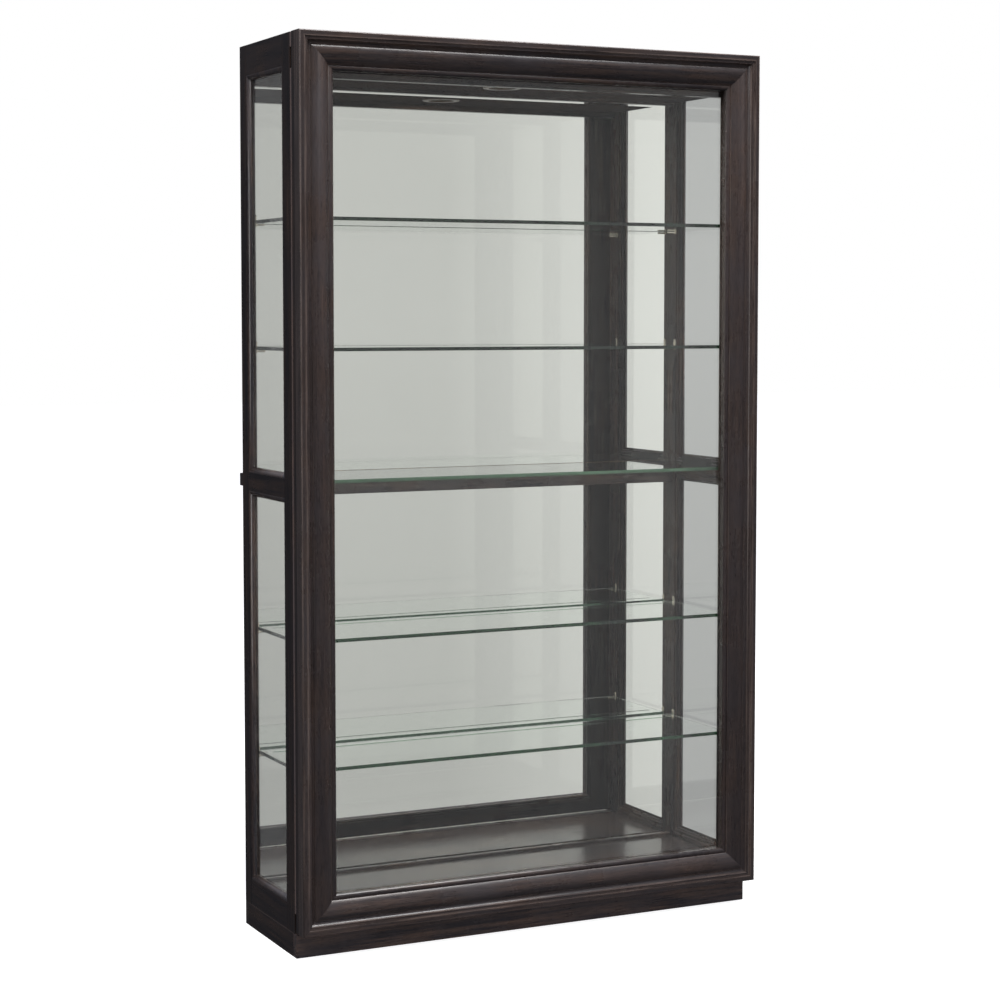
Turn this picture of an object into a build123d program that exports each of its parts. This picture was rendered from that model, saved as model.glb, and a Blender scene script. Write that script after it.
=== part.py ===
from build123d import *
import os

# Free-standing glass display showcase: a dark wood case with glass ends, a mirrored back,
# glass shelves and one full-height framed glass door that slides sideways both ways on
# telescopic ball-bearing slides.
# Frame: origin on the floor under the middle of the bounding box, +X to the right seen from
# the front, -Y towards the person in front, +Z up. Millimetres.

os.makedirs("parts", exist_ok=True)

# ---- overall sizes ----
height = 2032.0
case_width = 1160.0
case_depth = 320.0
door_width = 1162.0
door_layer = 32.0           # moulded front layer of the door
door_back_layer = 16.0      # flat frame glued behind it
slide_gap = 12.0            # thickness of a ball-bearing slide
batten_depth = 20.0
plinth_height = 54.0
door_floor_gap = 4.5        # door bottom above the plinth

door_front = -(case_depth + slide_gap + door_layer + door_back_layer + batten_depth) / 2
door_joint = door_front + door_layer
door_back = door_joint + door_back_layer
case_front = door_back + slide_gap
case_rear = case_front + case_depth
batten_rear = case_rear + batten_depth
case_bottom = plinth_height
door_bottom = plinth_height + door_floor_gap

# ---- glazed end frames ----
end_thickness = 25.0
end_outer = case_width / 2
end_inner = end_outer - end_thickness
rear_stile_width = 40.0
front_stile_width = 47.5
glass_recess = 10.0
glass_thickness = 4.0
lip = 8.0                   # inner lip that the pane rests against
lip_steps = ((12.0, 12.9, 2.5), (4.5, 4.5, 6.0))    # inner moulding: width in Y, width in Z, depth
bead_width = 13.0
bead_proud = 0.6            # bead starts this far below the frame's outer face
mitre_gap = 0.05            # hairline at a mitre
pane_play = 1.0             # gap round a pane in its rebate
bottom_rail = (case_bottom, 114.5)
mid_rail = (1019.0, 1061.0)
top_rail = (1964.0, height)
pane_outer = end_outer - glass_recess
pane_inner = pane_outer - glass_thickness
stile_front_edge = case_front + front_stile_width
stile_rear_edge = case_rear - rear_stile_width
bays = ((bottom_rail[1], mid_rail[0]), (mid_rail[1], top_rail[0]))

# ---- case, back and plinth ----
front_rail_depth = 20.0
deck_top = 98.0
deck_thickness = 18.0
front_lintel_bottom = 1936.0
back_lintel_bottom = 1943.0
top_thickness = 16.0
ceiling = (1950.0, 1962.0)
back_rail = (158.0, 176.0)
back_board = (back_rail[1], back_rail[1] + 4.0)
mirror = (171.5, 175.5)
mirror_strip = (160.0, mirror[0])
mirror_strip_height = 7.0
back_mid_rail_bottom = 1001.0
plinth_front = door_back + 2.0
plinth_board = 20.0
batten_height = (1027.0, 1056.0)
spacer_width = 20.0
spacer_play = 1.0           # between the spacer strips and the moving door
wall_hole_spacing = 812.8   # 32 in, two stud bays
wall_hole = 5.5
inlet_place = (0.0, 1990.0)
inlet_radius = 8.0
cord_radius = 4.0

# ---- glass shelves ----
shelf_half = 550.0
shelf_thickness = 8.0
shelf_y = (-110.0, 155.0)
shelf_middles = (407.0, 696.0, 1345.0, 1634.0)
fixed_shelf = (1048.0, 1056.0)
fixed_shelf_half = end_inner + 5.5
plate_groove_y = 118.0
pin_rows = (-105.0, 147.0)
pin_radius = 2.5
pin_reach = 23.0            # under the shelf, from the end frame
pin_plate = 2.4
pin_plate_radius = 4.5
pin_eye_rise = 8.0          # the plate's screw above the shelf
pin_gap = 0.3               # shelf above its pins
pin_hole_play = 0.1

# ---- door ----
door_frame = 84.0           # width of the moulding
door_back_frame = 76.0
door_pane = (door_joint + 0.3, door_joint + 0.3 + glass_thickness)
door_pane_edge = 77.0
door_stop_depth = 9.5

# ---- slides: one behind the top of the door, one behind its bottom ----
slide_length = 1100.0
slide_height = 42.0
steel = 1.2
slide_centres = (case_bottom + 2.0 + slide_height / 2, 1997.5 - slide_height / 2)
mid_member_half = 16.4
door_member_half = 11.8
ball_radius = 1.4
balls_in_row = 10
cage_length = 980.0
cage_plate = 0.6
slide_screw_xs = (-500.0, -300.0, -100.0, 100.0, 300.0, 500.0)
screw_radius = 1.8
screw_head = 4.0
screw_head_height = 1.6
screw_length = 12.0         # from the outer face of the slide member's web

# ---- light ----
light_radius = 38.0
light_height = 46.0
trim_radius = 46.0
trim_thickness = 2.5
lens_height = 30.0          # lens above the underside of the ceiling
light_y = 0.0

# ---- levelers ----
leveler_x = end_outer - 52.0
leveler_rows = (plinth_front + 52.0, case_rear - 50.0)
stem_radius = 4.0
stem_play = 0.35
pad_radius = 16.0
pad_height = 6.0
block_size = 52.0
block_z = (18.0, 50.0)


def keep(piece, label):
    """Label a finished piece and write it to its own file."""
    piece.part.label = label
    export_step(piece.part, f"parts/{label}.step")


def block(x, y, z, mode=Mode.ADD):
    """Rectangular block between two limits on each axis, added to the part being built."""
    limits = [sorted(pair) for pair in (x, y, z)]
    with Locations(tuple((low + high) / 2 for low, high in limits)):
        Box(*(high - low for low, high in limits), mode=mode)


def rod(start, direction, radius, length, mode=Mode.ADD):
    """Cylinder from a start point along a direction, added to the part being built."""
    with Locations(Plane(origin=start, z_dir=direction).location):
        Cylinder(radius, length, align=(Align.CENTER, Align.CENTER, Align.MIN), mode=mode)


def mitred_frame(profile, centre, across, half_across, half_up, depth, width, reach):
    """Four members of a rectangular frame, mitred at the corners.

    profile draws the section in (distance from the outer edge, depth) inside a BuildLine.
    Members come in the order bottom, first side, top, second side.
    """
    across, depth, up = Vector(across), Vector(depth), Vector(0, 0, 1)
    members = []
    for inward, half_in, half_along in (
        (up, half_up, half_across),
        (across, half_across, half_up),
        (-up, half_up, half_across),
        (-across, half_across, half_up),
    ):
        along = inward.cross(depth)
        corner = Vector(centre) - inward * half_in - along * half_along
        length = 2 * half_along
        with BuildPart() as member:
            with BuildSketch(Plane(origin=corner, x_dir=inward, z_dir=along)):
                with BuildLine():
                    profile()
                make_face()
            extrude(amount=length)
            with BuildSketch(Plane(origin=corner, x_dir=along, z_dir=depth)):
                with BuildLine():
                    Polyline((mitre_gap, 0), (length - mitre_gap, 0),
                             (length - width - mitre_gap, width), (width + mitre_gap, width),
                             close=True)
                make_face()
            extrude(amount=reach, mode=Mode.INTERSECT)
        members.append(member)
    return members


# ---- glazed ends ----
def cut_lip_steps(side):
    """Stepped moulding round the inside of both panes, cut from the part being built."""
    for low, high in bays:
        for in_y, in_z, depth in lip_steps:
            block((side * end_inner, side * (end_inner + depth)),
                  (stile_front_edge + lip - in_y, stile_rear_edge - lip + in_y),
                  (low + lip - in_z, high - lip + in_z), mode=Mode.SUBTRACT)


def end_stile(side, body_y, lip_y, pin_y):
    """Upright of an end frame, with the pane's inner lip and the shelf pin holes."""
    with BuildPart() as stile:
        block((side * end_inner, side * end_outer), body_y, (case_bottom, height))
        for bay in bays:
            block((side * end_inner, side * pane_inner), lip_y, bay)
        for middle in shelf_middles:
            pin_z = middle - shelf_thickness / 2 - pin_gap - pin_radius
            rod((side * end_inner, pin_y, pin_z), (side, 0, 0), pin_radius + pin_hole_play, 10.0,
                mode=Mode.SUBTRACT)
        cut_lip_steps(side)
    return stile


def end_rail(side, z, lips):
    """Cross rail of an end frame; lips lists the heights of its inner lips."""
    with BuildPart() as rail:
        block((side * end_inner, side * end_outer), (stile_front_edge, stile_rear_edge), z)
        for lip_z in lips:
            block((side * end_inner, side * pane_inner),
                  (stile_front_edge + lip, stile_rear_edge - lip), lip_z)
        if z == mid_rail:
            block((side * end_inner, side * (end_inner + 6.0)), (stile_front_edge, stile_rear_edge),
                  (fixed_shelf[0] - 0.1, fixed_shelf[1] + 0.1), mode=Mode.SUBTRACT)
        cut_lip_steps(side)
    return rail


def drill_slide_holes(y):
    """Screw holes of both slides through the part being built, between two depths."""
    for centre in slide_centres:
        for x in slide_screw_xs:
            rod((x, y[0], centre), (0, 1, 0), screw_radius, y[1] - y[0], mode=Mode.SUBTRACT)


def bead_profile():
    """Ovolo glass bead, flat at the frame and falling to a thin edge on the pane."""
    Polyline((0, glass_recess), (0, bead_proud), (3.0, bead_proud))
    ThreePointArc((3.0, bead_proud), (9.6, 3.4), (bead_width, 8.2))
    Polyline((bead_width, 8.2), (bead_width, glass_recess), (0, glass_recess))


for side, name in ((-1, "left"), (1, "right")):
    keep(end_stile(side, (stile_rear_edge, case_rear), (stile_rear_edge - lip, stile_rear_edge),
                   pin_rows[1]), f"{name}_rear_stile")
    keep(end_stile(side, (case_front, stile_front_edge), (stile_front_edge, stile_front_edge + lip),
                   pin_rows[0]), f"{name}_front_stile")
    keep(end_rail(side, bottom_rail, [(bottom_rail[1], bottom_rail[1] + lip)]),
         f"{name}_bottom_rail")
    keep(end_rail(side, mid_rail, [(mid_rail[0] - lip, mid_rail[0]), (mid_rail[1], mid_rail[1] + lip)]),
         f"{name}_mid_rail")
    keep(end_rail(side, top_rail, [(top_rail[0] - lip, top_rail[0])]), f"{name}_top_rail")

    with BuildPart() as panes:
        for low, high in bays:
            block((side * pane_inner, side * pane_outer),
                  (stile_front_edge + pane_play, stile_rear_edge - pane_play),
                  (low + pane_play, high - pane_play))
    keep(panes, f"{name}_glass_panes")

    with BuildPart() as beads:
        for low, high in bays:
            for strip in mitred_frame(
                bead_profile,
                (side * end_outer, (stile_front_edge + stile_rear_edge) / 2, (low + high) / 2),
                (0, 1, 0), (stile_rear_edge - stile_front_edge) / 2, (high - low) / 2,
                (-side, 0, 0), bead_width, glass_recess,
            ):
                add(strip.part)
    keep(beads, f"{name}_glass_beads")

# ---- case panels ----
inside = (-end_inner, end_inner)
full = (-end_outer, end_outer)

with BuildPart() as top_panel:
    block(inside, (case_front, case_rear), (height - top_thickness, height))
keep(top_panel, "top_panel")

with BuildPart() as ceiling_panel:
    block(inside, (case_front + front_rail_depth, back_rail[0]), ceiling)
    rod((0, light_y, ceiling[0]), (0, 0, 1), light_radius + 1.0, ceiling[1] - ceiling[0],
        mode=Mode.SUBTRACT)
keep(ceiling_panel, "ceiling_panel")

with BuildPart() as top_front_rail:
    block(inside, (case_front, case_front + front_rail_depth),
          (front_lintel_bottom, height - top_thickness))
    drill_slide_holes((case_front, case_front + screw_length - steel))
keep(top_front_rail, "top_front_rail")

with BuildPart() as bottom_front_rail:
    block(inside, (case_front, case_front + front_rail_depth), (case_bottom, deck_top))
    drill_slide_holes((case_front, case_front + screw_length - steel))
keep(bottom_front_rail, "bottom_front_rail")

with BuildPart() as deck_panel:
    block(inside, (case_front + front_rail_depth, back_rail[1]), (deck_top - deck_thickness, deck_top))
keep(deck_panel, "deck_panel")

# ---- plinth ----
with BuildPart() as plinth_front_board:
    block(full, (plinth_front, plinth_front + plinth_board), (0, plinth_height))
    top_edges = plinth_front_board.edges().filter_by(Axis.X).group_by(Axis.Z)[-1]
    chamfer(top_edges.sort_by(Axis.Y)[0], 2.0)
keep(plinth_front_board, "plinth_front")

with BuildPart() as plinth_sides:
    for side in (-1, 1):
        block((side * (end_outer - plinth_board), side * end_outer),
              (plinth_front + plinth_board, case_rear - plinth_board), (0, plinth_height))
keep(plinth_sides, "plinth_sides")

with BuildPart() as plinth_rear:
    block(full, (case_rear - plinth_board, case_rear), (0, plinth_height))
keep(plinth_rear, "plinth_rear")

leveler_places = [
    (side * leveler_x, row, f"{row_name}_{name}")
    for row, row_name in zip(leveler_rows, ("front", "rear"))
    for side, name in ((-1, "left"), (1, "right"))
]

with BuildPart() as corner_blocks:
    for x, y, _ in leveler_places:
        outer_x = (end_outer - plinth_board) * (1 if x > 0 else -1)
        inner_x = outer_x - block_size * (1 if x > 0 else -1)
        edge_y = plinth_front + plinth_board if y < 0 else case_rear - plinth_board
        inner_y = edge_y + block_size * (1 if y < 0 else -1)
        block((inner_x, outer_x), (edge_y, inner_y), block_z)
        rod((x, y, block_z[0]), (0, 0, 1), 6.0, block_z[1] - block_z[0], mode=Mode.SUBTRACT)
keep(corner_blocks, "corner_blocks")

with BuildPart() as leveler_nuts:
    for x, y, _ in leveler_places:
        rod((x, y, block_z[0]), (0, 0, 1), 6.0, 20.0)
        rod((x, y, block_z[0] - 1.5), (0, 0, 1), 11.0, 1.5)
        rod((x, y, block_z[0] - 1.5), (0, 0, 1), stem_radius + stem_play, 21.5, mode=Mode.SUBTRACT)
keep(leveler_nuts, "leveler_nuts")

for x, y, name in leveler_places:
    with BuildPart() as leveler:
        rod((x, y, 0), (0, 0, 1), pad_radius, pad_height)
        rim = leveler.edges().filter_by(GeomType.CIRCLE).group_by(Axis.Z)[-1]
        chamfer(rim, 1.5)
        rod((x, y, pad_height), (0, 0, 1), 7.0, 5.0)
        rod((x, y, pad_height + 5.0), (0, 0, 1), stem_radius, 36.0)
    keep(leveler, f"leveler_{name}")

# ---- back ----
wall_holes = [(side * wall_hole_spacing / 2, sum(batten_height) / 2) for side in (-1, 1)]


def bore_wall_holes(y):
    """Clearance holes for the two wall screws through the part being built."""
    for x, z in wall_holes:
        rod((x, y[0], z), (0, 1, 0), wall_hole / 2, y[1] - y[0], mode=Mode.SUBTRACT)


def bore_inlet(y):
    """Hole for the cord inlet through the part being built."""
    rod((inlet_place[0], y[0], inlet_place[1]), (0, 1, 0), inlet_radius, y[1] - y[0],
        mode=Mode.SUBTRACT)


with BuildPart() as back_top_rail:
    block(inside, back_rail, (back_lintel_bottom, height - top_thickness))
    bore_inlet(back_rail)
keep(back_top_rail, "back_top_rail")

with BuildPart() as back_mid_rail:
    block(inside, back_rail, (back_mid_rail_bottom, fixed_shelf[0]))
    bore_wall_holes(back_rail)
keep(back_mid_rail, "back_mid_rail")

with BuildPart() as back_board_panel:
    block(inside, back_board, (case_bottom, height - top_thickness))
    bore_wall_holes(back_board)
    bore_inlet(back_board)
keep(back_board_panel, "back_board")

with BuildPart() as wall_batten:
    block(full, (case_rear, batten_rear), batten_height)
    bore_wall_holes((case_rear, batten_rear))
keep(wall_batten, "wall_batten")

with BuildPart() as lower_mirror:
    block(inside, mirror, (deck_top, back_mid_rail_bottom))
keep(lower_mirror, "lower_mirror")

with BuildPart() as upper_mirror:
    block(inside, mirror, (fixed_shelf[1] + 0.5, back_lintel_bottom))
keep(upper_mirror, "upper_mirror")

with BuildPart() as mirror_strip_part:
    block(inside, mirror_strip, (deck_top, deck_top + mirror_strip_height))
    chamfer(mirror_strip_part.edges().filter_by(Axis.X).group_by(Axis.Z)[-1].sort_by(Axis.Y)[0], 1.5)
keep(mirror_strip_part, "mirror_retaining_strip")

# Strips that close the gap behind the door, above the upper slide and between the slides.
spacer_y = (case_front, door_back + spacer_play)
with BuildPart() as front_spacer_strips:
    for side in (-1, 1):
        block((side * (end_outer - spacer_width), side * end_outer), spacer_y,
              (slide_centres[0] + slide_height / 2 + 1.0, slide_centres[1] - slide_height / 2 - 1.5))
    block(full, spacer_y, (slide_centres[1] + slide_height / 2 + 1.5, height))
keep(front_spacer_strips, "front_spacer_strips")

# ---- fixed and adjustable shelves ----
with BuildPart() as mid_shelf:
    block((-fixed_shelf_half, fixed_shelf_half), (stile_front_edge + 0.5, stile_rear_edge - 0.5),
          fixed_shelf)
    block((-end_inner + 0.5, end_inner - 0.5), (shelf_y[0], mirror[0]), fixed_shelf)
keep(mid_shelf, "mid_shelf_glass")

for number, middle in enumerate(shelf_middles, start=1):
    low, high = middle - shelf_thickness / 2, middle + shelf_thickness / 2
    with BuildPart() as shelf:
        block((-shelf_half, shelf_half), shelf_y, (low, high))
        chamfer(shelf.edges().filter_by(Axis.X), 0.5)
        block((-shelf_half + 20.0, shelf_half - 20.0), (plate_groove_y - 3.0, plate_groove_y + 3.0),
              (high - 1.5, high), mode=Mode.SUBTRACT)
    keep(shelf, f"glass_shelf_{number}")

# Each pin has an upright plate against the end frame, screwed above the shelf.
with BuildPart() as shelf_pins:
    for middle in shelf_middles:
        pin_z = middle - shelf_thickness / 2 - pin_gap - pin_radius
        eye_z = middle + shelf_thickness / 2 + pin_eye_rise
        for side in (-1, 1):
            plate = (side * end_inner, side * (end_inner - pin_plate))
            for pin_y in pin_rows:
                rod((side * (end_inner + 9.0), pin_y, pin_z), (-side, 0, 0), pin_radius,
                    9.0 + pin_reach)
                block(plate, (pin_y - pin_plate_radius, pin_y + pin_plate_radius), (pin_z, eye_z))
                for round_z in (pin_z, eye_z):
                    rod((plate[0], pin_y, round_z), (-side, 0, 0), pin_plate_radius, pin_plate)
                rod((plate[1], pin_y, eye_z), (-side, 0, 0), 2.6, 1.2)
keep(shelf_pins, "shelf_pins")

# ---- light in the ceiling ----
with BuildPart() as light_housing:
    rod((0, light_y, ceiling[0]), (0, 0, 1), light_radius, light_height)
    rod((0, light_y, ceiling[0]), (0, 0, 1), light_radius - 2.0, light_height - 2.0, mode=Mode.SUBTRACT)
keep(light_housing, "light_housing")

with BuildPart() as light_trim_ring:
    underside = (0, light_y, ceiling[0] - trim_thickness)
    rod(underside, (0, 0, 1), trim_radius, trim_thickness)
    chamfer(light_trim_ring.edges().group_by(Axis.Z)[0], 1.2)
    rod(underside, (0, 0, 1), light_radius - 6.0, trim_thickness, mode=Mode.SUBTRACT)
keep(light_trim_ring, "light_trim_ring")

with BuildPart() as light_module:
    rod((0, light_y, ceiling[0] + lens_height), (0, 0, 1), light_radius - 2.3, 3.0)
    rod((0, light_y, ceiling[0] + lens_height + 4.0), (0, 0, 1), 26.0, 8.0)
keep(light_module, "light_module")

with BuildPart() as cord_inlet:
    mouth = (inlet_place[0], back_rail[0], inlet_place[1])
    inlet_depth = back_board[1] - back_rail[0]
    rod(mouth, (0, 1, 0), inlet_radius - 0.1, inlet_depth)
    rod((inlet_place[0], back_board[1], inlet_place[1]), (0, 1, 0), inlet_radius + 4.0, 2.0)
    rod(mouth, (0, 1, 0), cord_radius, inlet_depth + 2.0, mode=Mode.SUBTRACT)
keep(cord_inlet, "cord_inlet")


# ---- door ----
def door_profile():
    """Door moulding: rounded outer edge, fillet, cove, cushion and an inner bead."""
    Line((0, door_layer), (0, 4.0))
    ThreePointArc((0, 4.0), (1.17, 1.17), (4.0, 0))
    Polyline((4.0, 0), (13.0, 0), (13.0, 3.0), (20.0, 3.0), (20.0, 5.0))
    ThreePointArc((20.0, 5.0), (24.2, 10.2), (31.0, 12.0))
    Line((31.0, 12.0), (31.0, 10.0))
    ThreePointArc((31.0, 10.0), (48.0, 5.5), (72.0, 15.0))
    Line((72.0, 15.0), (72.0, 17.0))
    ThreePointArc((72.0, 17.0), (77.6, 14.6), (door_frame, 18.0))
    Polyline((door_frame, 18.0), (door_frame, door_layer), (0, door_layer))


door_middle = (door_bottom + height) / 2
door_half_height = (height - door_bottom) / 2
door_members = mitred_frame(door_profile, (0, door_front, door_middle), (1, 0, 0), door_width / 2,
                            door_half_height, (0, 1, 0), door_frame, door_layer)
for member, name in zip(door_members, ("bottom_rail", "left_stile", "top_rail", "right_stile")):
    keep(member, f"door_{name}")

door_half = door_width / 2
with BuildPart() as door_back_frame_part:
    for side in (-1, 1):
        block((side * (door_half - door_back_frame), side * door_half), (door_joint, door_back),
              (door_bottom, height))
    cross_half = door_half - door_back_frame - mitre_gap
    for z in ((door_bottom, door_bottom + door_back_frame), (height - door_back_frame, height)):
        block((-cross_half, cross_half), (door_joint, door_back), z)
    drill_slide_holes((door_back - screw_length + steel, door_back))
keep(door_back_frame_part, "door_back_frame")

with BuildPart() as door_glass:
    block((-door_half + door_pane_edge, door_half - door_pane_edge), door_pane,
          (door_bottom + door_pane_edge, height - door_pane_edge))
keep(door_glass, "door_glass")


def stop_profile():
    """Glass stop with one rounded inner edge."""
    stop_width = door_frame - door_back_frame
    Polyline((0, 0), (0, door_stop_depth), (stop_width - 4.0, door_stop_depth))
    ThreePointArc((stop_width - 4.0, door_stop_depth), (stop_width - 1.17, door_stop_depth - 1.17),
                  (stop_width, door_stop_depth - 4.0))
    Polyline((stop_width, door_stop_depth - 4.0), (stop_width, 0), (0, 0))


with BuildPart() as door_glass_stops:
    for strip in mitred_frame(stop_profile, (0, door_pane[1], door_middle), (1, 0, 0),
                              door_half - door_back_frame, door_half_height - door_back_frame,
                              (0, 1, 0), door_frame - door_back_frame, door_stop_depth):
        add(strip.part)
keep(door_glass_stops, "door_glass_stops")


# ---- ball-bearing slides ----
half_slide = slide_length / 2
along = (-half_slide, half_slide)


def channel(centre, half, web, lip_end):
    """Steel channel along X: a web between two depths and two flanges that reach lip_end."""
    block(along, web, (centre - half, centre + half))
    for sign in (-1, 1):
        block(along, (web[0], lip_end), (centre + sign * (half - steel), centre + sign * half))


def ball_rows(depth, row_half):
    """Ball cages of both slides: a pierced strip above and below, each with its loose balls."""
    for centre in slide_centres:
        for sign in (-1, 1):
            z = centre + sign * row_half
            block((-cage_length / 2, cage_length / 2), (depth - 2.4, depth + 2.4),
                  (z - cage_plate / 2, z + cage_plate / 2))
            with Locations((0, depth, z)):
                with GridLocations(cage_length / balls_in_row, 1, balls_in_row, 1):
                    Cylinder(ball_radius + 0.1, 2 * cage_plate, mode=Mode.SUBTRACT)
                    Sphere(ball_radius)


with BuildPart() as slide_case_members:
    for centre in slide_centres:
        channel(centre, slide_height / 2, (case_front, case_front - steel), door_back + 1.0)
    drill_slide_holes((case_front - steel, case_front))
keep(slide_case_members, "slide_case_members")

with BuildPart() as slide_mid_members:
    for centre in slide_centres:
        channel(centre, mid_member_half, (case_front - 3.6, case_front - 3.6 - steel), door_back + 1.6)
keep(slide_mid_members, "slide_mid_members")

with BuildPart() as slide_door_members:
    for centre in slide_centres:
        channel(centre, door_member_half, (door_back, door_back + steel), door_back + 5.8)
    drill_slide_holes((door_back, door_back + steel))
keep(slide_door_members, "slide_door_members")

outer_row = (slide_height / 2 - steel + mid_member_half) / 2
inner_row = (mid_member_half - steel + door_member_half) / 2
with BuildPart() as case_side_ball_cages:
    ball_rows(case_front - 7.4, outer_row)
keep(case_side_ball_cages, "case_side_ball_cages")

with BuildPart() as door_side_ball_cages:
    ball_rows(door_back + 3.4, inner_row)
keep(door_side_ball_cages, "door_side_ball_cages")

# ---- screws ----
def slide_screws(web_face, inward):
    """Low-head screws of both slides: a disc head on the web and a plain shank going in."""
    with BuildPart() as screws:
        for centre in slide_centres:
            for x in slide_screw_xs:
                rod((x, web_face, centre), (0, -inward, 0), screw_head, screw_head_height)
                rod((x, web_face, centre), (0, inward, 0), screw_radius, screw_length)
    return screws


keep(slide_screws(case_front - steel, 1), "case_screws")
keep(slide_screws(door_back + steel, -1), "door_screws")
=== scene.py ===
import math

import bmesh
import bpy
from mathutils import Matrix, Vector


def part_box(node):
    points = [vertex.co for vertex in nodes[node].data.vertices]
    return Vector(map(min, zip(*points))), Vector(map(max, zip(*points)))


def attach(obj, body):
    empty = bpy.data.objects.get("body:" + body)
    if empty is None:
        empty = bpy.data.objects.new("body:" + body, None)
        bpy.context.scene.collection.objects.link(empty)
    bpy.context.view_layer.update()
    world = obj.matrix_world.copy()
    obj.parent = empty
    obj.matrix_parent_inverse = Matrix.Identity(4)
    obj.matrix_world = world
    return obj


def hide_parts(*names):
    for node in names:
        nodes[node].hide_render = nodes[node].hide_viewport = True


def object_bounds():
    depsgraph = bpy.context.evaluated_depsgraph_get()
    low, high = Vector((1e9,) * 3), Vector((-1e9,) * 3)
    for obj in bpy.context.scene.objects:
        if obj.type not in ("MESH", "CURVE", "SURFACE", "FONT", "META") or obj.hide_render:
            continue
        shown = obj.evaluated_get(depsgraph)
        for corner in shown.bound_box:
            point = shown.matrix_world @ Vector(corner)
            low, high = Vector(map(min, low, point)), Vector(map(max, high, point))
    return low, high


# Looks of the glass display showcase: studio, camera, materials, and the small pieces whose
# detail the plain parts leave out. Metres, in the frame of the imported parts.

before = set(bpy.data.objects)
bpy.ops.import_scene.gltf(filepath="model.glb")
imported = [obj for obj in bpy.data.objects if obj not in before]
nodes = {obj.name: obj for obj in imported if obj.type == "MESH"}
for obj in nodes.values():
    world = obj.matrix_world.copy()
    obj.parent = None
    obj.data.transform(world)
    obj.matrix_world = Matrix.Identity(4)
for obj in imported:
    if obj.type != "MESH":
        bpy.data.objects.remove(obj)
cad_low, cad_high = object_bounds()
scene = bpy.context.scene


# ---------------------------------------------------------------- node helper
class Shader:
    """A material's node tree, with one short call for each node."""

    def __init__(self, name, tree=None):
        if tree is None:
            self.material = bpy.data.materials.new(name)
            self.material.use_nodes = True
            tree = self.material.node_tree
        self.tree = tree
        self.tree.nodes.clear()

    def add(self, kind, inputs=None, **settings):
        node = self.tree.nodes.new("ShaderNode" + kind)
        for key, value in settings.items():
            setattr(node, key, value)
        for key, value in (inputs or {}).items():
            if isinstance(value, bpy.types.NodeSocket):
                self.tree.links.new(value, node.inputs[key])
            else:
                node.inputs[key].default_value = value
        return node

    def math(self, operation, first, second=0.0, clamp=False):
        return self.add("Math", {0: first, 1: second}, operation=operation,
                        use_clamp=clamp).outputs[0]

    def noise(self, vector, scale, detail=4.0, roughness=0.55, distortion=0.0):
        return self.add("TexNoise", {"Vector": vector, "Scale": scale, "Detail": detail,
                                     "Roughness": roughness, "Distortion": distortion}).outputs[0]

    def mapped(self, scale, location=(0, 0, 0)):
        coordinates = self.add("TexCoord").outputs["Object"]
        return self.add("Mapping", {"Vector": coordinates, "Scale": scale,
                                    "Location": location}).outputs[0]

    def along(self, grain, location=(0, 0, 0)):
        """Coordinates stretched along the grain; "frame" turns it with a door frame's members."""
        if grain != "frame":
            return self.mapped(GRAIN[grain], location)
        upright = self.math("LESS_THAN", *edge_distances(self))
        return self.add("Mix", {0: upright, 4: self.mapped(GRAIN["x"], location),
                                5: self.mapped(GRAIN["z"], location)},
                        data_type="VECTOR").outputs[1]

    def range(self, value, low, high, out_low=0.0, out_high=1.0):
        return self.add("MapRange", {"Value": value, "From Min": low, "From Max": high,
                                     "To Min": out_low, "To Max": out_high}).outputs[0]

    def blend(self, factor, first, second):
        return self.add("Mix", {0: factor, 6: first, 7: second}, data_type="RGBA").outputs[2]

    def bump(self, height, strength, distance, normal=None):
        inputs = {"Height": height, "Strength": strength, "Distance": distance}
        if normal is not None:
            inputs["Normal"] = normal
        return self.add("Bump", inputs).outputs[0]

    def surface(self, inputs):
        shader = self.add("BsdfPrincipled", inputs)
        self.finish(shader.outputs[0])
        return shader

    def finish(self, socket, volume=None):
        output = self.add("OutputMaterial", {"Surface": socket})
        if volume is not None:
            self.tree.links.new(volume, output.inputs["Volume"])


# ---------------------------------------------------------------- materials
# Texture scale along each axis, for a grain that runs along one of them.
GRAIN = {"x": (0.045, 1.0, 1.0), "y": (1.0, 0.045, 1.0), "z": (1.0, 1.0, 0.045)}
WOOD_BLACK = (0.0078, 0.0068, 0.0075)
WOOD_BROWN = (0.0620, 0.0380, 0.0265)
WOOD_STAIN = (0.0175, 0.0148, 0.0156)
MEAN_BROWN_SHARE = 0.24     # how brown the wood is on average, whatever its contrast
GLASS_IOR = 1.5
GREEN_ABSORPTION = (0.26, 0.42, 0.32, 1)
ABSORPTION_DENSITY = 13.0
LAMP_COLOUR = (1.0, 0.78, 0.52)
door_low, door_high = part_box("door_left_stile")
door_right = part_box("door_right_stile")[1].x
door_middle_z = (door_low.z + door_high.z) / 2
door_half_z = (door_high.z - door_low.z) / 2


def scaled(colour, factor):
    """A colour made lighter or darker by a factor, with alpha 1."""
    return tuple(min(c * factor, 1.0) for c in colour[:3]) + (1,)


def edge_distances(s):
    """Distances from the door's outer side and end edges to a point, seen from the front."""
    position = s.add("SeparateXYZ", {0: s.add("TexCoord").outputs["Object"]})
    from_side = s.math("SUBTRACT", door_right, s.math("ABSOLUTE", position.outputs[0]))
    from_middle = s.math("ABSOLUTE", s.math("SUBTRACT", position.outputs[2], door_middle_z))
    return from_side, s.math("SUBTRACT", door_half_z, from_middle)


def highlight_line(s, distance, centre, half_width):
    """Mask of a painted highlight line: 1 at one distance from the door's edge, falling to 0 at
    half_width.
    """
    off = s.math("ABSOLUTE", s.math("SUBTRACT", distance, centre))
    return s.range(off, 0.0, half_width, 1.0, 0.0)
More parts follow.
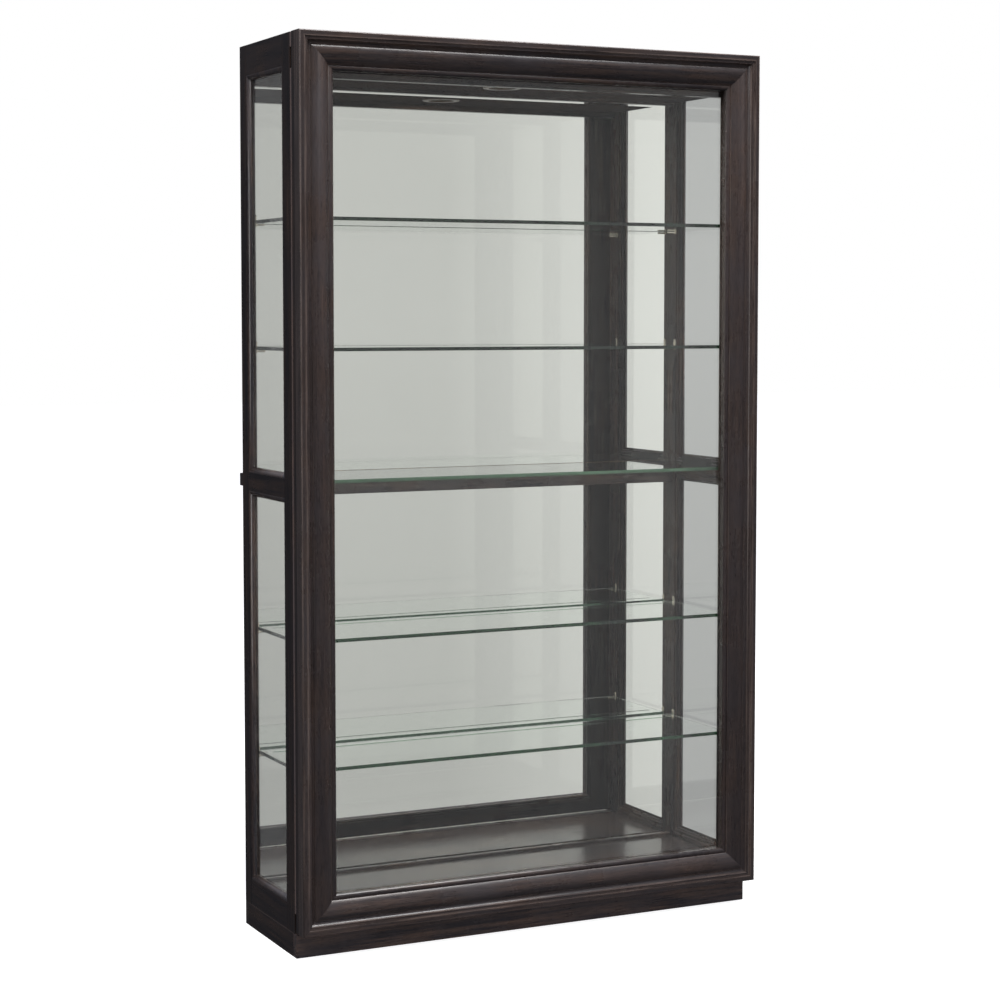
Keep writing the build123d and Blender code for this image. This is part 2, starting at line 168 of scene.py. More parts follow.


# Painted highlights on the door moulding's arrises, lines of paler brown: distance from the outer
# edge, half width, share of brown.
ARRIS_HIGHLIGHTS = ((0.0012, 0.0028, 0.65), (0.0135, 0.0042, 0.70), (0.0210, 0.0020, 0.50),
          (0.0310, 0.0018, 0.35), (0.0720, 0.0014, 0.55))
# Colour of the painted highlight lines on the arrises.
ARRIS_HIGHLIGHT_COLOUR = (0.135, 0.100, 0.085, 1)


def dark_wood(name, grain, moulded=False, roughness=0.27, lightness=1.0, specular=0.36,
              relief=1.0, highlight_height=None, contrast=1.0):
    """Espresso-stained wood under satin lacquer, its pores and streaks along one axis.

    moulded paints highlight lines of paler brown along the door's arrises, and highlight_height
    one such painted highlight line along one level arris. contrast is that of the streaks.
    """
    s = Shader(name)
    pores = s.noise(s.along(grain), 1100.0, 4.0, 0.6)
    streak = s.noise(s.along(grain, (0.21, 0.13, 0.07)), 150.0, 6.0, 0.62, 0.5)
    figure = s.noise(s.along(grain, (0.37, 0.11, 0.23)), 34.0, 4.0, 0.5, 1.4)
    cloud = s.noise(s.mapped((1, 1, 1)), 9.0, 4.0, 0.55)

    tone = s.math("ADD", s.math("MULTIPLY", streak, 0.5), s.math("MULTIPLY", figure, 0.5))
    brown_share = s.range(tone, 0.42, 0.76, MEAN_BROWN_SHARE * (1 - contrast),
                          MEAN_BROWN_SHARE + (1 - MEAN_BROWN_SHARE) * contrast)
    colour = s.blend(brown_share, scaled(WOOD_BLACK, lightness), scaled(WOOD_BROWN, lightness))
    colour = s.blend(s.range(cloud, 0.35, 0.70, 0.05, 0.75), colour,
                     scaled(WOOD_STAIN, lightness))
    colour = s.add("Mix", {0: 1.0, 6: colour, 7: s.range(pores, 0.32, 0.50, 0.35, 1.0)},
                   data_type="RGBA", blend_type="MULTIPLY").outputs[2]
    # Painted highlights: paler brown lines along the door moulding's arrises, broken up by noise.
    if moulded:
        distance = s.math("MINIMUM", *edge_distances(s))
        highlight_break = s.range(s.noise(s.along(grain, (0.7, 0.2, 0.4)), 110.0, 5.0, 0.7), 0.35, 0.68)
        for centre, half_width, strength in ARRIS_HIGHLIGHTS:
            line = s.math("MULTIPLY", highlight_line(s, distance, centre, half_width), highlight_break)
            colour = s.blend(s.math("MULTIPLY", line, strength), colour, ARRIS_HIGHLIGHT_COLOUR)
    # Painted highlight: one paler line along a level arris at a given height.
    if highlight_height:
        height = s.add("SeparateXYZ", {0: s.add("TexCoord").outputs["Object"]}).outputs[2]
        colour = s.blend(s.math("MULTIPLY", highlight_line(s, height, highlight_height, 0.0030), 0.55),
                         colour, ARRIS_HIGHLIGHT_COLOUR)
    sheen = s.math("ADD", cloud, s.math("MULTIPLY", streak, 0.4))
    pore_relief = s.bump(pores, 0.12 * relief, 0.0003)
    s.surface({"Base Color": colour,
               "Roughness": s.range(sheen, 0.4, 1.0, roughness - 0.06, roughness + 0.08),
               "Specular IOR Level": specular,
               "Normal": s.bump(streak, 0.08 * relief, 0.0005, pore_relief)})
    return s.material


def plain_board(name, pale, dark, scale, roughness, stretch=(1, 1, 1)):
    """Raw or pressed board: mottled between two colours, with a fibrous surface."""
    s = Shader(name)
    mottle = s.noise(s.mapped(stretch), scale, 6.0, 0.7)
    fibre = s.noise(s.mapped(stretch), scale * 9.0, 4.0, 0.7)
    mix = s.math("ADD", s.math("MULTIPLY", mottle, 0.6), s.math("MULTIPLY", fibre, 0.4))
    s.surface({"Base Color": s.blend(s.range(mix, 0.3, 0.7), dark, pale),
               "Roughness": s.range(fibre, 0.2, 0.8, roughness - 0.08, roughness + 0.08),
               "Normal": s.bump(fibre, 0.35, 0.0005)})
    return s.material


def glass(name, tint, edge_tint, edge_axis, front_tint=None):
    """Clear float glass: a faint tint through the face, deep green through its cut edges.

    edge_axis is the pane's thin direction. Lamps shine through it. A plate with a front_tint
    also gets the green that builds up along it, and its front edge is that dark.
    """
    s = Shader(name)
    normal = s.add("SeparateXYZ", {0: s.add("TexCoord").outputs["Normal"]})
    across = s.math("ABSOLUTE", normal.outputs["XYZ".index(edge_axis)])
    is_edge = s.math("LESS_THAN", across, 0.6)
    smear = s.noise(s.mapped((1, 1, 1)), 5.0, 4.0, 0.6, 0.8)
    ground = s.noise(s.mapped((1, 1, 1)), 240.0, 3.0, 0.6)
    roughness = s.math("ADD", s.range(smear, 0.45, 0.8, 0.006, 0.014),
                       s.math("MULTIPLY", is_edge, s.range(ground, 0.3, 0.7, 0.06, 0.16)))
    colour = s.blend(is_edge, tint, edge_tint)
    if front_tint:
        colour = s.blend(s.math("LESS_THAN", normal.outputs[1], -0.6), colour, front_tint)
    body = s.add("BsdfPrincipled", {"Base Color": colour, "Roughness": roughness,
                                    "IOR": GLASS_IOR, "Transmission Weight": 1.0})
    clear = s.add("BsdfTransparent", {"Color": tint})
    lamp_ray = s.add("LightPath").outputs["Is Shadow Ray"]
    surface = s.add("MixShader", {0: lamp_ray, 1: body.outputs[0], 2: clear.outputs[0]})
    green = s.add("VolumeAbsorption", {"Color": GREEN_ABSORPTION, "Density": ABSORPTION_DENSITY})
    s.finish(surface.outputs[0], green.outputs[0] if front_tint else None)
    return s.material


def ground_glass(name, colour):
    """Ground edge of thick glass: it scatters light, finely scratched along its length."""
    s = Shader(name)
    scratches = s.noise(s.along("x"), 900.0, 4.0, 0.6)
    cloud = s.noise(s.mapped((1, 1, 1)), 14.0, 4.0, 0.6)
    s.surface({"Base Color": s.blend(s.range(cloud, 0.35, 0.65), scaled(colour, 0.72), colour),
               "Roughness": s.range(scratches, 0.3, 0.7, 0.22, 0.42),
               "Normal": s.bump(scratches, 0.15, 0.0002)})
    return s.material


def silvered(name):
    """Mirror: silver behind glass, its colour a little uneven."""
    s = Shader(name)
    haze = s.noise(s.mapped((1, 1, 1)), 3.0, 4.0, 0.6, 0.5)
    s.surface({"Base Color": s.blend(haze, (0.865, 0.865, 0.825, 1), (0.90, 0.90, 0.865, 1)),
               "Metallic": 1.0, "Roughness": 0.0})
    return s.material


def metal(name, colour, roughness, brushed=None, worn=0.15, metallic=1.0):
    """Plated or drawn metal, brushed along one axis or only faintly uneven."""
    s = Shader(name)
    vector = s.mapped(GRAIN[brushed] if brushed else (1, 1, 1))
    lines = s.noise(vector, 1500.0 if brushed else 260.0, 4.0, 0.7)
    cloud = s.noise(s.mapped((1, 1, 1)), 45.0, 4.0, 0.6)
    s.surface({"Base Color": s.blend(s.range(cloud, 0.3, 0.7), scaled(colour, 1 - worn), colour),
               "Metallic": metallic,
               "Roughness": s.range(lines, 0.3, 0.7, roughness * 0.75, roughness * 1.3),
               "Normal": s.bump(lines, 0.12, 0.0002)})
    return s.material


def plastic(name, colour, roughness):
    """Moulded plastic with a fine spark-eroded surface."""
    s = Shader(name)
    grain = s.noise(s.mapped((1, 1, 1)), 900.0, 3.0, 0.6)
    cloud = s.noise(s.mapped((1, 1, 1)), 30.0, 3.0, 0.5)
    s.surface({"Base Color": s.blend(cloud, colour, scaled(colour, 1.25)),
               "Roughness": s.range(grain, 0.3, 0.7, roughness - 0.06, roughness + 0.06),
               "Normal": s.bump(grain, 0.2, 0.0002)})
    return s.material


def lit_diffuser(name, strength):
    """Frosted lens with the lamp on behind it."""
    s = Shader(name)
    frost = s.noise(s.mapped((1, 1, 1)), 700.0, 3.0, 0.6)
    s.surface({"Base Color": s.blend(frost, (0.88, 0.84, 0.76, 1), (0.95, 0.92, 0.86, 1)),
               "Roughness": s.range(frost, 0.3, 0.7, 0.45, 0.65),
               "Normal": s.bump(frost, 0.3, 0.0003),
               "Emission Color": LAMP_COLOUR + (1,), "Emission Strength": strength})
    return s.material


wood_x = dark_wood("wood_grain_x", "x")
wood_y = dark_wood("wood_grain_y", "y", specular=0.16)
wood_z = dark_wood("wood_grain_z", "z", specular=0.12)
frame_wood = dark_wood("frame_wood", "frame", specular=0.2)
door_wood_x = dark_wood("door_wood_grain_x", "x", moulded=True, lightness=1.3, contrast=0.8)
door_wood_z = dark_wood("door_wood_grain_z", "z", moulded=True, lightness=1.3, contrast=0.45)
# Beads twice as light as the plain wood: painted reflection of the light their faces catch.
bead_wood_painted_reflection = dark_wood("bead_wood_painted_reflection", "z", roughness=0.20, specular=0.7, lightness=2.0)
# The plinth sides get a painted highlight line along their top arris.
plinth_side_wood = dark_wood("plinth_side_wood", "y", specular=0.16,
                             highlight_height=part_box("plinth_sides")[1].z)
# Plinth front lightened: painted light where the door's overhang keeps the lamps off it.
plinth_wood_painted_light = dark_wood("plinth_wood_painted_light", "x", lightness=2.4, specular=0.3)
# Spacer strips much lighter than the rest of the case: a painted highlight line in the gap
# between door and case.
spacer_wood_painted_highlight = dark_wood("spacer_wood_painted_highlight", "frame", lightness=5.5, specular=0.25, contrast=0.5)
deck_wood = dark_wood("deck_wood", "x", roughness=0.19, specular=0.5, relief=0.0)
ceiling_wood = dark_wood("ceiling_wood", "x", roughness=0.6, lightness=1.3, specular=0.0,
                         relief=0.3)
inner_wood_x = dark_wood("inner_wood_grain_x", "x", specular=0.2)
hardboard = plain_board("hardboard", (0.16, 0.095, 0.052, 1), (0.085, 0.048, 0.026, 1),
                        90.0, 0.62)
raw_block = plain_board("raw_pine", (0.52, 0.36, 0.20, 1), (0.36, 0.22, 0.11, 1),
                        60.0, 0.6, (0.06, 1, 1))
PANE_TINT = (0.985, 0.995, 0.99, 1)
SHELF_TINT = (0.985, 0.992, 0.988, 1)
EDGE_TINT = (0.018, 0.105, 0.050, 1)
SHELF_EDGE_TINT = (0.86, 0.94, 0.90, 1)
SHELF_FRONT_TINT = (0.20, 0.50, 0.27, 1)
side_glass = glass("side_glass", PANE_TINT, EDGE_TINT, "X")
door_pane = glass("door_pane", PANE_TINT, EDGE_TINT, "Y")
shelf_glass = glass("shelf_glass", SHELF_TINT, SHELF_EDGE_TINT, "Z",
                    front_tint=SHELF_FRONT_TINT)
ground_edge = ground_glass("ground_edge", (0.030, 0.062, 0.035, 1))
mirror_silver = silvered("mirror_silver")
nickel = metal("nickel", (0.70, 0.64, 0.55, 1), 0.16)
bronze = metal("bronze", (0.10, 0.075, 0.060, 1), 0.35)
zinc = metal("bright_zinc", (0.66, 0.65, 0.62, 1), 0.34, "x", worn=0.05, metallic=0.65)
turned_steel = metal("turned_steel", (0.58, 0.57, 0.56, 1), 0.30, worn=0.08, metallic=0.8)
black_plastic = plastic("black_plastic", (0.018, 0.018, 0.018, 1), 0.42)
diffuser = lit_diffuser("lit_diffuser", 2.5)


def dress(material, *names):
    for name in names:
        nodes[name].data.materials.clear()
        nodes[name].data.materials.append(material)


SIDES = ("left", "right")
dress(wood_z, *[f"{side}_{part}_stile" for side in SIDES for part in ("rear", "front")])
dress(bead_wood_painted_reflection, *[f"{side}_glass_beads" for side in SIDES])
dress(wood_y, *[f"{side}_{part}_rail" for side in SIDES for part in ("top", "mid", "bottom")])
dress(plinth_side_wood, "plinth_sides")
dress(ceiling_wood, "ceiling_panel")
dress(frame_wood, "door_back_frame", "door_glass_stops")
dress(spacer_wood_painted_highlight, "front_spacer_strips")
dress(plinth_wood_painted_light, "plinth_front")
dress(wood_x, "top_panel", "bottom_front_rail", "plinth_rear", "back_top_rail", "back_mid_rail",
      "wall_batten", "mirror_retaining_strip")
dress(inner_wood_x, "top_front_rail")
dress(door_wood_x, "door_top_rail", "door_bottom_rail")
dress(door_wood_z, "door_left_stile", "door_right_stile")
dress(deck_wood, "deck_panel")
dress(hardboard, "back_board")
dress(raw_block, "corner_blocks")
dress(side_glass, "left_glass_panes", "right_glass_panes")
dress(door_pane, "door_glass")
dress(shelf_glass, "mid_shelf_glass", *[f"glass_shelf_{n}" for n in range(1, 5)])
dress(mirror_silver, "upper_mirror", "lower_mirror")
dress(nickel, "shelf_pins")
dress(bronze, "light_trim_ring")
dress(zinc, "slide_case_members", "slide_mid_members", "slide_door_members",
      "case_side_ball_cages", "door_side_ball_cages")
dress(turned_steel, "leveler_nuts", "case_screws", "door_screws",
      *[f"leveler_{row}_{side}" for row in ("front", "rear") for side in SIDES])
dress(black_plastic, "light_housing", "cord_inlet")
dress(diffuser, "light_module")


# ---------------------------------------------------------------- softened edges
def soften(names, width, segments=2):
    """Rounds the sharp edges of CAD parts by a small width."""
    for name in names:
        weld = nodes[name].modifiers.new("weld", "WELD")
        weld.merge_threshold = 0.00001
        bevel = nodes[name].modifiers.new("bevel", "BEVEL")
        bevel.width = width
        bevel.segments = segments
        bevel.limit_method = "ANGLE"
        bevel.angle_limit = math.radians(35)
        bevel.harden_normals = True


CASE_WOODS = (wood_x, wood_y, wood_z, inner_wood_x, plinth_wood_painted_light, plinth_side_wood, spacer_wood_painted_highlight,
              frame_wood)
soften([name for name, part in nodes.items()
        if part.data.materials[0] in CASE_WOODS and "stops" not in name], 0.0010)
soften([f"door_{part}" for part in ("bottom_rail", "left_stile", "top_rail", "right_stile")],
       0.0009, 3)
soften(["deck_panel", "back_board"], 0.0006)
soften([f"{side}_glass_beads" for side in SIDES], 0.0006)


# ---------------------------------------------------------------- small pieces
SHARP_ANGLE = math.radians(38)
RIM_POINTS = 28             # points round a turned piece, and round a screw's flat top


def new_piece(name, b, body, slot, material, *stands_for):
    """Turns a built mesh into a piece of the object, sharp where its faces meet at an angle."""
    bmesh.ops.recalc_face_normals(b, faces=b.faces)
    for face in b.faces:
        face.smooth = True
    for edge in b.edges:
        if len(edge.link_faces) == 2:
            edge.smooth = edge.calc_face_angle(0.0) < SHARP_ANGLE
    mesh = bpy.data.meshes.new(name)
    b.to_mesh(mesh)
    b.free()
    piece = bpy.data.objects.new(name, mesh)
    scene.collection.objects.link(piece)
    mesh.materials.append(material)
    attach(piece, body)
    if stands_for:
        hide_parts(*stands_for)
    return piece


def facing(place, axis):
    """Matrix that puts a shape built up along Z at a place, pointing along an axis."""
    return (Matrix.Translation(Vector(place))
            @ Vector(axis).to_track_quat("Z", "Y").to_matrix().to_4x4())


def lathe(b, place, axis, profile, segments=RIM_POINTS, radius_at=None):
    """Adds a turned solid from (radius, height) points, closed where the radius is 0."""
    matrix = facing(place, axis)
    rings = []
    for radius, height in profile:
        if radius == 0.0:
            rings.append([b.verts.new(matrix @ Vector((0, 0, height)))] * segments)
            continue
        ring = []
        for k in range(segments):
            angle = 2 * math.pi * k / segments
            r = radius if radius_at is None else radius_at(radius, height, angle)
            ring.append(b.verts.new(matrix @ Vector((r * math.cos(angle), r * math.sin(angle),
                                                     height))))
        rings.append(ring)
    for low, high in zip(rings, rings[1:]):
        for k in range(segments):
            n = (k + 1) % segments
            corners = []
            for vert in (low[k], low[n], high[n], high[k]):
                if vert not in corners:
                    corners.append(vert)
            if len(corners) > 2:
                b.faces.new(corners)


def cross_recess(b, place, axis, rim_radius, height, arm, half_width, depth):
    """Flat top of a screw head with a cross recess, inside a rim of RIM_POINTS points."""
    matrix = facing(place, axis)
    rim = []
    for k in range(RIM_POINTS):
        angle = 2 * math.pi * k / RIM_POINTS
        rim.append(b.verts.new(matrix @ Vector((rim_radius * math.cos(angle),
                                                rim_radius * math.sin(angle), height))))
    outline = []
    for quarter in range(4):
        turn = Matrix.Rotation(quarter * math.pi / 2, 4, "Z")
        for x, y in ((arm, -half_width), (arm, half_width), (half_width, half_width)):
            outline.append(turn @ Vector((x, y, 0)))
    mouth = [b.verts.new(matrix @ (p + Vector((0, 0, height)))) for p in outline]
    floor = [b.verts.new(matrix @ (p * 0.55 + Vector((0, 0, height - depth)))) for p in outline]
    edges = [b.edges.new((loop[k], loop[(k + 1) % len(loop)])) for loop in (rim, mouth)
             for k in range(len(loop))]
    bmesh.ops.triangle_fill(b, use_beauty=True, use_dissolve=False, edges=edges)
    for k in range(12):
        n = (k + 1) % 12
        b.faces.new((mouth[k], mouth[n], floor[n], floor[k]))
    b.faces.new(floor)


def pan_screw(b, place, axis, radius, head_height, shank, length):
    """Low pan-head wood screw: crowned head with a cross recess and a threaded, pointed shank.

    place is the middle of the head's seat, and axis points out of the head.
    """
    crown = [(radius, 0.0), (radius, 0.35 * head_height), (0.93 * radius, 0.66 * head_height),
             (0.78 * radius, 0.88 * head_height), (0.58 * radius, head_height)]
    turns = int(length / 0.0012)
    thread = [(0.0, -length)]
    for k in range(2 * turns):
        z = -length + (k + 0.5) * length / (2 * turns)
        taper = min(1.0, (z + length) / 0.004)
        thread.append((max(shank * (1.0 if k % 2 else 0.72) * taper, 0.00025), z))
    lathe(b, place, axis, thread + crown)
    cross_recess(b, place, axis, 0.58 * radius, head_height, 0.40 * radius, 0.11 * radius,
                 0.75 * head_height)
    bmesh.ops.remove_doubles(b, verts=b.verts, dist=0.000002)


def mirror_edges():
    """Polished edges of the mirror plates, canted a little out of the plates' plane."""
    top_low, top_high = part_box("upper_mirror")
    bottom_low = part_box("lower_mirror")[0]
    strip_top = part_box("mirror_retaining_strip")[1].z
    b = bmesh.new()
    for low_z, high_z, lean in ((top_high.z - 0.0042, top_high.z - 0.0004, 0.0005),
                                (strip_top + 0.0004, strip_top + 0.0036, -0.0004)):
        face = top_low.y - 0.0001
        front = [(low_z, face - max(-lean, 0.0)), (high_z, face - max(lean, 0.0))]
        corners = []
        for x in (top_low.x + 0.0005, top_high.x - 0.0005):
            corners.append([b.verts.new((x, y, z)) for z, y in
                            (front[0], front[1], (high_z, face + 0.00005),
                             (low_z, face + 0.00005))])
        left, right = corners
        for k in range(4):
            n = (k + 1) % 4
            b.faces.new((left[k], left[n], right[n], right[k]))
        b.faces.new(left)
        b.faces.new(reversed(right))
    new_piece("mirror_polished_edges", b, "case", "mirror", mirror_silver)


def middle_shelf_edge():
    """Ground and slightly crowned front edge of the fixed middle shelf."""
    low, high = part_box("mid_shelf_glass")
    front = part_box("glass_shelf_1")[0].y
    half_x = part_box("ceiling_panel")[1].x - 0.004
    middle, half_z = (low.z + high.z) / 2, (high.z - low.z) / 2 - 0.0004
    section = [(front - 0.00004, middle + half_z)]
    for k in range(9):
        rise = 1.0 - 2.0 * k / 8
        section.append((front - 0.0001 - 0.0003 * (1.0 - rise * rise), middle + half_z * rise))
    section.append((front - 0.00004, middle - half_z))
    b = bmesh.new()
    rings = [[b.verts.new((x, y, z)) for y, z in section] for x in (-half_x, half_x)]
    for k in range(len(section)):
        n = (k + 1) % len(section)
        b.faces.new((rings[0][k], rings[0][n], rings[1][n], rings[1][k]))
    for ring in rings:
        b.faces.new(ring)
    new_piece("middle_shelf_ground_edge", b, "case", "shelf_glass", ground_edge)


def slide_screws():
    """Detailed screws in place of the plain ones that hold the slides."""
    head_radius, head_height, shank = 0.004, 0.0016, 0.00178
    for node, body in (("case_screws", "case"), ("door_screws", "door")):
        low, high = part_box(node)
        out = -1 if node == "case_screws" else 1
        seat_y = (low.y + head_height) if out < 0 else (high.y - head_height)
        b = bmesh.new()
        for z in (low.z + head_radius, high.z - head_radius):
            for x in (-0.5, -0.3, -0.1, 0.1, 0.3, 0.5):
                pan_screw(b, (x, seat_y, z), (0, out, 0), head_radius, head_height, shank, 0.0119)
        new_piece("pan_head_" + node, b, body, "leveler_steel", turned_steel, node)


def rounded_plate(b, place, axis, up, half_width, low, high, thickness):
    """Upright plate with round ends at low and high, its arrises eased."""
    axis, up = Vector(axis), Vector(up)
    across = axis.cross(up)
    steps = 12
    rings = []
    for inset, out in ((0.0, 0.0), (0.0, thickness - 0.0005), (0.0002, thickness - 0.00015),
                       (0.0006, thickness)):
        radius = half_width - inset
        ring = []
        for end, start in ((high, 0.0), (low, math.pi)):
            for k in range(steps + 1):
                angle = start + math.pi * k / steps
                ring.append(b.verts.new(Vector(place) + axis * out
                                        + across * (radius * math.cos(angle))
                                        + up * (end + radius * math.sin(angle))))
        rings.append(ring)
    count = len(rings[0])
    for low_ring, high_ring in zip(rings, rings[1:]):
        for k in range(count):
            n = (k + 1) % count
            b.faces.new((low_ring[k], low_ring[n], high_ring[n], high_ring[k]))
    b.faces.new(rings[0])
    b.faces.new(rings[-1])


def shelf_supports():
    """Nickel shelf pins: a ribbed pin under the glass and a plate with its screw above it."""
    radius, tip = 0.0025, 0.023
    plate_half_width, plate_thickness = 0.0045, 0.0024
    b = bmesh.new()
    low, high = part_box("shelf_pins")
    inner = high.x - 0.009
    for number in range(1, 5):
        shelf_low, shelf_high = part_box(f"glass_shelf_{number}")
        pin_z = shelf_low.z - 0.0028
        eye_z = shelf_high.z + 0.008
        for side in (-1, 1):
            face_x = side * inner
            for y in (low.y + plate_half_width, high.y - plate_half_width):
                place = (face_x, y, pin_z)
                axis = (-side, 0, 0)
                profile = [(0.0, -0.0088), (0.0021, -0.0088), (radius, -0.0082), (radius, 0.0024)]
                for k in range(6):
                    start = 0.0060 + 0.0024 * k
                    profile += [(radius, start), (0.00215, start + 0.0004),
                                (0.00215, start + 0.0010), (radius, start + 0.0014)]
                profile += [(radius, tip - 0.0012), (0.0021, tip - 0.0003), (0.0012, tip),
                            (0.0, tip)]
                lathe(b, place, axis, profile, 24)
                rounded_plate(b, place, axis, (0, 0, 1), plate_half_width, 0.0, eye_z - pin_z,
                              plate_thickness)
                pan_screw(b, (face_x - side * plate_thickness, y, eye_z), axis, 0.0026, 0.0012,
                          0.0012, 0.0080)
    new_piece("ribbed_shelf_supports", b, "case", "nickel", nickel, "shelf_pins")


def levelers():
    """Screw-in levelers: a moulded pad, a hexagon for the spanner and an M8 stem."""
    apothem, corner_radius = 0.0060, 0.0069

    def hexagon(radius, height, angle):
        if 0.0061 <= height <= 0.0109:
            return min(apothem / math.cos((angle % (math.pi / 3)) - math.pi / 6), corner_radius)
        return radius

    for row in ("front", "rear"):
        for side in SIDES:
            node = f"leveler_{row}_{side}"
            low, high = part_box(node)
            profile = [(0.0, 0.0006), (0.0105, 0.0006), (0.0115, 0.0), (0.0150, 0.0),
                       (0.0160, 0.0010), (0.0160, 0.0045), (0.0154, 0.0056), (0.0142, 0.0060),
                       (corner_radius, 0.0060), (corner_radius, 0.0062),
                       (corner_radius, 0.0108), (apothem, 0.0110)]
            z = 0.0112
            while z < high.z - low.z - 0.0018:
                profile += [(0.00340, z), (0.00395, z + 0.0005), (0.00395, z + 0.00065)]
                z += 0.00125
            profile += [(0.0034, z), (0.0026, high.z - low.z), (0.0, high.z - low.z)]
            b = bmesh.new()
            lathe(b, ((low.x + high.x) / 2, (low.y + high.y) / 2, low.z), (0, 0, 1), profile, 36,
                  hexagon)
            new_piece("threaded_" + node, b, node + "_foot", "leveler_steel", turned_steel, node)


def back_board_screws():
    """Small screws round the backing board, into the stiles, rails and battens."""
    low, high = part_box("back_board")
    from_edge = 0.012
    middle_z = sum(corner.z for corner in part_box("back_mid_rail")) / 2
    places = [(side * (high.x - from_edge), z) for side in (-1, 1)
              for z in (0.12, 0.33, 0.54, 0.75, 0.94, 1.14, 1.35, 1.56, 1.77, 1.94)]
    places += [(x, z) for x in (-0.42, -0.21, 0.0, 0.21, 0.42)
               for z in (low.z + from_edge, high.z - from_edge)]
    places += [(x, middle_z - 0.030) for x in (-0.36, -0.12, 0.12, 0.36)]
    b = bmesh.new()
    for x, z in places:
        pan_screw(b, (x, high.y, z), (0, 1, 0), 0.0036, 0.0014, 0.0012, 0.003)
    new_piece("back_board_screws", b, "case", "leveler_steel", turned_steel)


mirror_edges()
middle_shelf_edge()
slide_screws()
shelf_supports()
levelers()
back_board_screws()


# ---------------------------------------------------------------- studio
def studio_floor():
    """Pale floor that reads white and adds nothing to reflections."""
    mesh = bpy.data.meshes.new("floor")
    b = bmesh.new()
    bmesh.ops.create_grid(b, x_segments=1, y_segments=1, size=30.0)
    b.to_mesh(mesh)
    b.free()
    floor = bpy.data.objects.new("floor", mesh)
    scene.collection.objects.link(floor)
    s = Shader("pale_floor")
    s.surface({"Base Color": (0.40, 0.40, 0.40, 1), "Roughness": 0.9, "Specular IOR Level": 0.0,
               "Emission Color": (1, 1, 1, 1), "Emission Strength": 0.86})
    mesh.materials.append(s.material)
    floor.visible_diffuse = False
    floor.visible_glossy = False
    floor.visible_transmission = False


def softbox(name, place, target, size, power, colour=(1, 1, 1)):
    """Rectangular area lamp at a place, facing a target."""
    lamp = bpy.data.lights.new(name, "AREA")
    lamp.shape = "RECTANGLE"
    lamp.size, lamp.size_y = size
    lamp.energy = power
    lamp.color = colour
    holder = bpy.data.objects.new(name, lamp)
    holder.location = place
    holder.rotation_euler = (Vector(target) - Vector(place)).to_track_quat("-Z", "Y").to_euler()
    holder.visible_camera = False
    holder.visible_transmission = False
    scene.collection.objects.link(holder)
    return holder


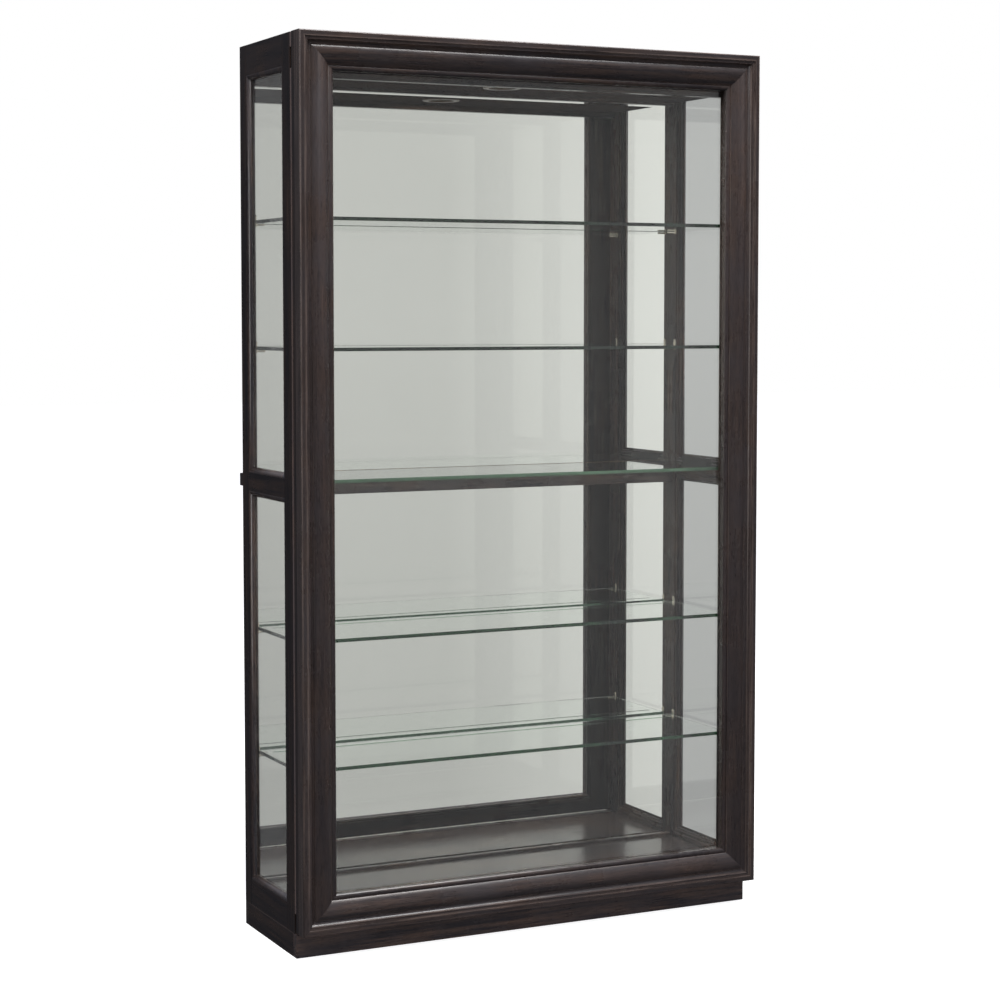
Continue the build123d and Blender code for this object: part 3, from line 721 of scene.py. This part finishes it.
def studio_world():
    """White to the eye. Glass and mirror show a light grey room, lit from the front right;
    lacquer picks up a darker one, black behind and to the left."""
    world = bpy.data.worlds.new("studio")
    world.use_nodes = True
    scene.world = world
    s = Shader("studio", world.node_tree)
    x, y, z = s.add("SeparateXYZ", {0: s.add("TexCoord").outputs["Generated"]}).outputs
    front = s.range(y, 0.1, -0.1)
    sideways = s.math("DIVIDE", x, s.math("MAXIMUM", s.math("ABSOLUTE", y), 0.05))
    panel = s.math("MULTIPLY", front, s.range(sideways, 0.46, 0.62))
    level = s.math("ADD", s.range(front, 0.0, 1.0, 0.47, 0.63), s.math("MULTIPLY", panel, 0.33))
    level = s.math("MULTIPLY", level, s.range(z, -0.25, 0.0, 0.81, 1.0))
    through = s.blend(level, (0, 0, 0, 1), (1.0, 1.005, 0.99, 1))

    overhead = s.math("MULTIPLY", s.range(z, 0.1, 0.8), 0.80)
    from_front = s.math("MULTIPLY", s.range(y, 0.3, -0.8), s.range(z, -0.02, 0.11, 0.16, 0.05))
    back_left = s.math("MULTIPLY", s.math("MULTIPLY", s.range(x, -0.1, -0.4),
                                          s.range(y, 0.3, 0.7)), 0.07)
    lacquer = s.math("ADD", s.math("ADD", 0.035, back_left), s.math("ADD", overhead, from_front))
    reflected = s.blend(lacquer, (0, 0, 0, 1), (0.94, 0.96, 1.10, 1))

    path = s.add("LightPath").outputs
    clear_view = s.math("MAXIMUM", path["Is Transmission Ray"], path["Is Singular Ray"])
    seen = s.blend(clear_view, reflected, through)
    seen = s.blend(path["Is Camera Ray"], seen, (1, 1, 1, 1))
    background = s.add("Background", {"Color": seen, "Strength": 1.0})
    s.add("OutputWorld", {"Surface": background.outputs[0]})


studio_floor()
studio_world()
case_middle = (cad_low + cad_high) / 2
softbox("key", (-2.9, -3.6, 5.0), case_middle, (1.6, 2.0), 100)
softbox("fill", (2.7, -3.4, 4.3), case_middle, (1.6, 2.0), 6)
softbox("overhead", (0.4, -1.3, 4.7), (0.4, -0.6, 0.0), (3.2, 1.8), 380)
low_front = softbox("low_front", (0.3, -3.2, 0.3), (0.0, -0.2, 0.15), (2.4, 0.4), 40)
low_front.visible_glossy = False
softbox("rim_left", (-5.0, -1.0, 1.6), case_middle, (0.8, 3.0), 45)
softbox("behind", (2.2, 4.2, 3.2), case_middle, (2.4, 2.4), 70)
softbox("rim_right", (4.6, 1.2, 1.9), case_middle, (0.8, 3.0), 45)

scene.view_settings.view_transform = "Standard"
scene.cycles.max_bounces = 24
scene.cycles.transmission_bounces = 24
scene.cycles.glossy_bounces = 12
scene.cycles.transparent_max_bounces = 24

# ---------------------------------------------------------------- lamp in the ceiling
trim_low, trim_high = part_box("light_trim_ring")
lamp = bpy.data.lights.new("cabinet_lamp", "AREA")
lamp.shape = "DISK"
lamp.size = 0.06
lamp.energy = 5.0
lamp.color = LAMP_COLOUR
lamp_holder = bpy.data.objects.new("cabinet_lamp", lamp)
lamp_holder.location = ((trim_low.x + trim_high.x) / 2, (trim_low.y + trim_high.y) / 2,
                        trim_low.z - 0.001)
lamp_holder.visible_camera = False
lamp_holder.visible_glossy = False
lamp_holder.visible_transmission = False
scene.collection.objects.link(lamp_holder)

# ---------------------------------------------------------------- camera
camera_data = bpy.data.cameras.new("camera")
camera_data.sensor_width = 36.0
camera_data.lens = 81.29
camera_data.shift_y = -0.04
camera = bpy.data.objects.new("camera", camera_data)
camera.location = (-2.3374, -4.7601, 1.4215)
camera.rotation_euler = (math.radians(90 - 3.6765), 0, math.radians(-26.0986))
scene.collection.objects.link(camera)
scene.camera = camera
